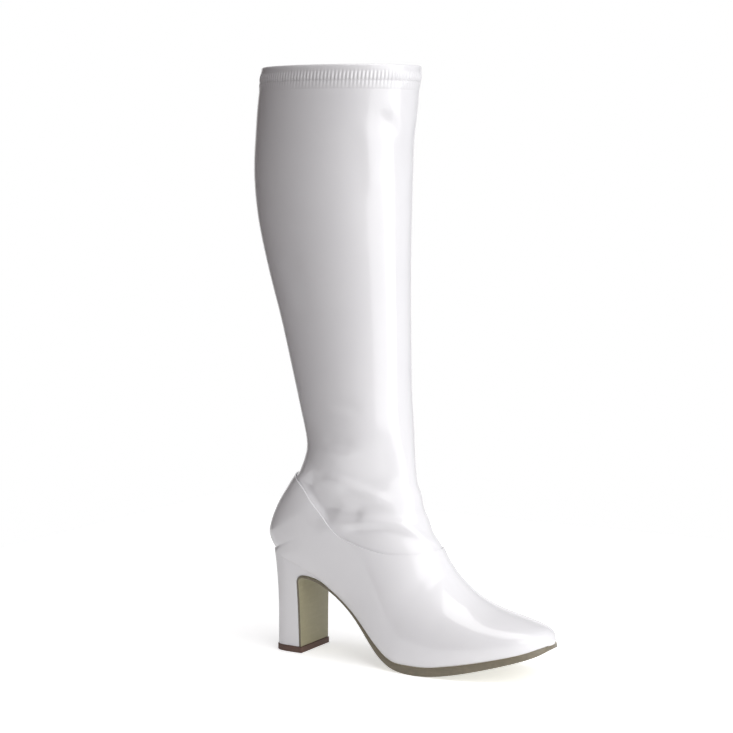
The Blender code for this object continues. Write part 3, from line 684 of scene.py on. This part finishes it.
bpy.ops.object.select_all(action="DESELECT")
bpy.ops.mesh.primitive_grid_add(
    size=1, x_subdivisions=hem_columns, y_subdivisions=len(hem_rings)
)
hem = bpy.context.object
hem.name = "collar_hem"
for vertex in hem.data.vertices:
    row = round((vertex.co.y + 0.5) * len(hem_rings)) % len(hem_rings)
    vertex.co = hem_rings[row][round((vertex.co.x + 0.5) * hem_columns) % hem_columns]
bpy.ops.object.mode_set(mode="EDIT")
bpy.ops.mesh.select_all(action="SELECT")
bpy.ops.mesh.remove_doubles(threshold=LEAST)
bpy.ops.mesh.normals_make_consistent(inside=False)
bpy.ops.object.mode_set(mode="OBJECT")
hem.data.materials.append(stretch_patent)
finish_mesh(hem, 60.0)
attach(hem, "root")

# Hem stitching
# Bonded polyester thread, 0.3 mm thick, in one row of small zigzag that catches the elastic's
# lower edge. It is one thread laid back and forth from rib to rib.
THREAD = 0.30 * MM
ZIGZAG = 0.8 * MM
STITCH_DEPTH = 11.9 * MM
STITCH_OUT = 0.14 * MM
STITCH_RIB = 0.10 * MM


def sewing_thread(name, colour):
    """Bonded polyester thread: twisted, with a low lustre."""
    made, tree, shader, place = new_material(name, Roughness=0.55, Sheen_Weight=0.2)
    ply = node(tree, "TexNoise", {"Vector": place, "Scale": 1 / (0.5 * MM), "Detail": 1.0})
    tint = node(tree, "Mix", {"Factor": ply.outputs["Fac"]}, data_type="RGBA")
    tint.inputs["A"].default_value = linear(colour)
    tint.inputs["B"].default_value = linear("#c9c8ca")
    tree.links.new(tint.outputs["Result"], shader.inputs["Base Color"])
    return made


def thread_mesh(name, lines, closed):
    """Threads along lines of points, as one mesh."""
    curve = bpy.data.curves.new(name, "CURVE")
    curve.dimensions = "3D"
    curve.bevel_depth = THREAD / 2
    curve.bevel_resolution = 1
    curve.use_fill_caps = True
    for line in lines:
        spline = curve.splines.new("POLY")
        spline.points.add(len(line) - 1)
        for spot, point in zip(spline.points, line):
            spot.co = (*point, 1.0)
        spline.use_cyclic_u = closed
    piece = bpy.data.objects.new(name, curve)
    bpy.context.scene.collection.objects.link(piece)
    bpy.ops.object.select_all(action="DESELECT")
    piece.select_set(True)
    bpy.context.view_layer.objects.active = piece
    bpy.ops.object.convert(target="MESH")
    piece.data.materials.append(white_thread)
    bpy.ops.object.shade_smooth_by_angle(angle=math.radians(60))
    return piece


white_thread = sewing_thread("white thread", "#ececec")
swings = []
for shift in (-1, 1):
    height = COLLAR - STITCH_DEPTH + shift * ZIGZAG / 2
    swings.append(hem_ring(height, STITCH_OUT + STITCH_RIB * ribs))
half_rib = POINTS_A_RIB // 2
zigzag = [swings[k // half_rib % 2][k] for k in range(0, hem_columns, half_rib)]
hem_thread = thread_mesh("hem_stitching", [zigzag], True)
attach(hem_thread, "root")

# Foot section
# Vamp and counter are one shaped cover of patent with a firm backing, lasted over the foot and
# lapped over the shaft. The grid on the form is cut along the top line, then given its wall.
COVER_WALL = 0.0010
COVER_SPACING = 0.0018
TURNED_EDGE = 0.35 * MM


def slide_to_top_line(piece, direction):
    """Drops each point by the top line's height, or lifts it back."""
    for vertex in piece.data.vertices:
        vertex.co.z += direction * top_line(vertex.co.x)


cover_places = [*places_between(0, ANKLE_TOP, COVER_SPACING), float(ANKLE_TOP)]
cover = grid_on_form("foot_section", cover_places, TUBE_ACROSS)
relax(cover, RELAXING)
lift_points(cover, fold_heights(coordinates(cover)) * UNDER_COVER + FIT)
slide_to_top_line(cover, -1)
bpy.ops.object.mode_set(mode="EDIT")
bpy.ops.mesh.select_all(action="SELECT")
bpy.ops.mesh.bisect(plane_co=(0, 0, 0), plane_no=(0, 0, 1), clear_outer=True)
bpy.ops.mesh.select_all(action="SELECT")
bpy.ops.mesh.remove_doubles(threshold=0.1 * MM)
bpy.ops.object.mode_set(mode="OBJECT")
slide_to_top_line(cover, 1)

foot_patent = patent("patent foot section", "#f2f1f3", "#ebeaed", 30.0, 0.07)
wall = cover.modifiers.new("wall", "SOLIDIFY")
wall.thickness = COVER_WALL
wall.offset = 1.0
wall.use_even_offset = True
edge = cover.modifiers.new("turned edge", "BEVEL")
edge.limit_method = "ANGLE"
edge.angle_limit = math.radians(55)
edge.width = TURNED_EDGE
edge.segments = 3
cover.data.materials.append(foot_patent)
finish_mesh(cover, 50.0)
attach(cover, "root")
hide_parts("foot_cover")

# Sock
# A sheet of sock fabric on the insole board, glued in last. The frame's board has its size, so a
# copy is rounded along its edge.


def rounded_copy(name, source, crease_degrees, levels, bevel_mm):
    """A copy of a frame node with its flat faces whole, its outline eased and its edges rounded."""
    bpy.ops.object.select_all(action="DESELECT")
    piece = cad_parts[source].copy()
    piece.data = piece.data.copy()
    piece.data.materials.clear()
    piece.parent = None
    piece.name = name
    bpy.context.scene.collection.objects.link(piece)
    piece.hide_viewport = False
    piece.hide_render = False
    for key in list(piece.keys()):
        del piece[key]
    piece.select_set(True)
    bpy.context.view_layer.objects.active = piece
    bpy.ops.object.mode_set(mode="EDIT")
    bpy.ops.mesh.select_all(action="SELECT")
    bpy.ops.mesh.remove_doubles(threshold=0.01 * MM)
    bpy.ops.mesh.tris_convert_to_quads(
        face_threshold=math.radians(20), shape_threshold=math.radians(75)
    )
    bpy.ops.object.mode_set(mode="OBJECT")
    work = bmesh.new()
    work.from_mesh(piece.data)
    crease = work.edges.layers.float.new("crease_edge")
    for line in work.edges:
        if len(line.link_faces) == 2 and line.calc_face_angle() > math.radians(crease_degrees):
            line[crease] = 1.0
    work.to_mesh(piece.data)
    work.free()
    smooth = piece.modifiers.new("outline", "SUBSURF")
    smooth.levels = smooth.render_levels = levels
    rounding = piece.modifiers.new("edges", "BEVEL")
    rounding.limit_method = "ANGLE"
    rounding.angle_limit = math.radians(crease_degrees)
    rounding.width = bevel_mm * MM
    rounding.segments = 3
    return piece


def sock_fabric(name):
    """Sock fabric: a fine plain weave of cotton, matt, its threads drawn at 0.9 mm to show."""
    made, tree, shader, place = new_material(name, Roughness=0.85, Sheen_Weight=0.2)
    scale = 1 / (0.9 * MM) / (2 * math.pi)
    warp = node(tree, "TexWave", {"Vector": place, "Scale": scale}, bands_direction="X")
    weft = node(tree, "TexWave", {"Vector": place, "Scale": scale}, bands_direction="Y")
    weave = node(
        tree, "Math", {0: warp.outputs["Fac"], 1: weft.outputs["Fac"]}, operation="MULTIPLY"
    )
    tint = node(tree, "Mix", {"Factor": weave.outputs["Value"]}, data_type="RGBA")
    tint.inputs["A"].default_value = linear("#b9b4ab")
    tint.inputs["B"].default_value = linear("#cfcac1")
    tree.links.new(tint.outputs["Result"], shader.inputs["Base Color"])
    bump = node(tree, "Bump", {"Height": weave.outputs["Value"], "Distance": 0.1 * MM})
    tree.links.new(bump.outputs["Normal"], shader.inputs["Normal"])
    return made


sock = rounded_copy("sock", "insole", 35.0, 1, 0.3)
sock.data.materials.append(sock_fabric("sock fabric"))
finish_mesh(sock)
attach(sock, "root")
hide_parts("insole")

# Sole
# One sheet of resin-bound leatherboard, cut to the last with a burnished edge, thin at the waist
# and turned down over the heel's front as a flap that is painted a pale olive tan.


def leatherboard(name, dark, light, roughness, layer_mm):
    """Leatherboard: ground leather and resin rolled to a sheet, so its cut edge is faintly
    layered. It is stained, waxed and burnished to a low sheen."""
    made, tree, shader, place = new_material(name, Roughness=roughness, Coat_Weight=0.15)
    shader.inputs["Coat Roughness"].default_value = 0.3
    fibre = node(tree, "TexNoise", {"Vector": place, "Scale": 1 / (3.5 * MM), "Detail": 4.0})
    squash = node(tree, "Mapping", {"Vector": place, "Scale": (40.0, 40.0, 1 / (layer_mm * MM))})
    layer = node(tree, "TexNoise", {"Vector": squash.outputs["Vector"], "Scale": 1.0})
    both = node(
        tree, "Math", {0: fibre.outputs["Fac"], 1: layer.outputs["Fac"]}, operation="MULTIPLY"
    )
    tint = node(tree, "Mix", {"Factor": both.outputs["Value"]}, data_type="RGBA")
    tint.inputs["A"].default_value = linear(dark)
    tint.inputs["B"].default_value = linear(light)
    tree.links.new(tint.outputs["Result"], shader.inputs["Base Color"])
    bump = node(tree, "Bump", {"Height": both.outputs["Value"], "Distance": 0.08 * MM})
    tree.links.new(bump.outputs["Normal"], shader.inputs["Normal"])
    return made


# The flap's front face looks forward and stands behind the breast. Faces that are steeper than a
# tread are the cut edge.
HEEL_LENGTH = 0.0262
FLAP_FACING = 0.5
TREAD_FACING = 0.75
sole = rounded_copy("sole", "outsole", 40.0, 1, 0.5)
sole.data.materials.append(leatherboard("sole face", "#a39d80", "#b9b292", 0.5, 1.5))
sole.data.materials.append(leatherboard("burnished sole edge", "#6c6555", "#958b75", 0.42, 0.8))
finish_mesh(sole)
for face in sole.data.polygons:
    flap = face.normal.x > FLAP_FACING and face.center.x < HEEL_LENGTH
    face.material_index = int(abs(face.normal.z) < TREAD_FACING and not flap)
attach(sole, "root")
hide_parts("outsole")

# Covered heel
# A moulded ABS block heel, wrapped in the same patent before it is pinned to the seat. The wrap
# is drawn tight, so the block's corners are small soft rounds.
heel = rounded_copy("covered_heel", "heel_block", 38.0, 1, 0.35)
heel.data.materials.append(patent("patent heel cover", "#f0eff1", "#e9e8eb", 26.0, 0.08))
finish_mesh(heel)
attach(heel, "root")
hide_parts("heel_block")

# Top lift
# A slip of hard dark brown rubber under the covered heel, where the boot wears. It is pinned up
# into the block and sanded level with the cover, which leaves a fine grit along its edge.


def lift_rubber(name):
    """Nitrile rubber: moulded, sanded level with the heel, dull, with a fine grit."""
    made, tree, shader, place = new_material(name, Roughness=0.6)
    grit = node(tree, "TexNoise", {"Vector": place, "Scale": 1 / (0.8 * MM), "Detail": 3.0})
    tint = node(tree, "Mix", {"Factor": grit.outputs["Fac"]}, data_type="RGBA")
    tint.inputs["A"].default_value = linear("#56423a")
    tint.inputs["B"].default_value = linear("#755b50")
    tree.links.new(tint.outputs["Result"], shader.inputs["Base Color"])
    bump = node(tree, "Bump", {"Height": grit.outputs["Fac"], "Distance": 0.06 * MM})
    tree.links.new(bump.outputs["Normal"], shader.inputs["Normal"])
    return made


lift = rounded_copy("lift", "top_lift", 38.0, 1, 0.4)
lift.data.materials.append(lift_rubber("lift rubber"))
finish_mesh(lift)
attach(lift, "root")
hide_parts("top_lift")

# Studio
# The boot stands on a sheet of white paper. A wide softbox before its toe is the key, a tall one
# beside it draws the long highlight, and a third hangs over them. The room is dark behind the heel.
PAPER_SIDE = 1.1
PAPER_GLOW = 0.22
PAPER_SEEN_GLOW = 0.54
bpy.ops.object.select_all(action="DESELECT")
bpy.ops.mesh.primitive_plane_add(size=PAPER_SIDE, location=(0.07, 0.05, 0))
floor = bpy.context.object
floor.name = "studio_floor"
paper, tree, shader, place = new_material("white paper", Roughness=0.9)
shader.inputs["Base Color"].default_value = linear("#f4f4f4")
shader.inputs["Emission Color"].default_value = linear("#ffffff")
lit = node(tree, "MapRange", {"Value": node(tree, "LightPath").outputs["Is Camera Ray"]})
lit.inputs["To Min"].default_value = PAPER_GLOW
lit.inputs["To Max"].default_value = PAPER_SEEN_GLOW
tree.links.new(lit.outputs["Result"], shader.inputs["Emission Strength"])
floor.data.materials.append(paper)


BOOT_MIDDLE = Vector((0.04, 0.0, 0.22))


def softbox(name, towards, distance, height, width, tall, watts):
    """A rectangular area light that faces the boot's middle."""
    spot = Vector((*(Vector(towards).normalized() * distance), height))
    bpy.ops.object.light_add(type="AREA", location=spot)
    lamp = bpy.context.object
    lamp.name = name
    lamp.rotation_mode = "QUATERNION"
    lamp.rotation_quaternion = (BOOT_MIDDLE - spot).to_track_quat("-Z", "Y")
    lamp.data.shape = "RECTANGLE"
    lamp.data.size = width
    lamp.data.size_y = tall
    lamp.data.energy = watts
    return lamp


softbox("key_softbox", (0.95, -0.31), 1.6, height=0.80, width=1.9, tall=1.6, watts=14.5)
softbox("strip_softbox", (1.00, -0.03), 1.5, height=0.60, width=0.70, tall=1.6, watts=5.2)
softbox("top_softbox", (0.75, -0.66), 0.5, height=2.0, width=1.3, tall=1.2, watts=12.5)

# The room's walls round the boot, from behind the heel to beyond the toe, as the camera's rays
# never see them: those end in white.
ROOM = (
    (0.00, "#4a4344"),
    (0.30, "#595352"),
    (0.52, "#9a9797"),
    (0.72, "#b4b4b6"),
    (1.00, "#a4a4a6"),
)
world = bpy.data.worlds.new("studio_room")
bpy.context.scene.world = world
world.use_nodes = True
tree = world.node_tree
background = tree.nodes["Background"]
ACROSS = (0.866, 0.5, 0.0)
AHEAD = (-0.5, 0.866, 0.0)
BACKDROP_EDGE = 0.86
BACKDROP_FULL = 0.97
sight = node(tree, "TexCoord").outputs["Generated"]
side = node(tree, "VectorMath", {0: sight, 1: ACROSS}, operation="DOT_PRODUCT")
span = node(tree, "MapRange", {"Value": side.outputs["Value"], "From Min": -1.0, "From Max": 1.0})
walls = node(tree, "ValToRGB", {"Fac": span.outputs["Result"]})
while len(walls.color_ramp.elements) < len(ROOM):
    walls.color_ramp.elements.new(1.0)
for stop, (position, colour) in zip(walls.color_ramp.elements, ROOM):
    stop.position = position
    stop.color = linear(colour)
ahead = node(tree, "VectorMath", {0: sight, 1: AHEAD}, operation="DOT_PRODUCT")
backdrop = node(
    tree,
    "MapRange",
    {
        "Value": ahead.outputs["Value"],
        "From Min": BACKDROP_EDGE,
        "From Max": BACKDROP_FULL,
    },
    interpolation_type="SMOOTHSTEP",
)
seen = node(tree, "LightPath").outputs["Is Camera Ray"]
white = node(tree, "Math", {0: backdrop.outputs["Result"], 1: seen}, operation="MAXIMUM")
room = node(tree, "Mix", {"Factor": white.outputs["Value"]}, data_type="RGBA")
tree.links.new(walls.outputs["Color"], room.inputs["A"])
room.inputs["B"].default_value = linear("#ffffff")
tree.links.new(room.outputs["Result"], background.inputs["Color"])
background.inputs["Strength"].default_value = 1.0
bpy.context.scene.view_settings.view_transform = "Standard"
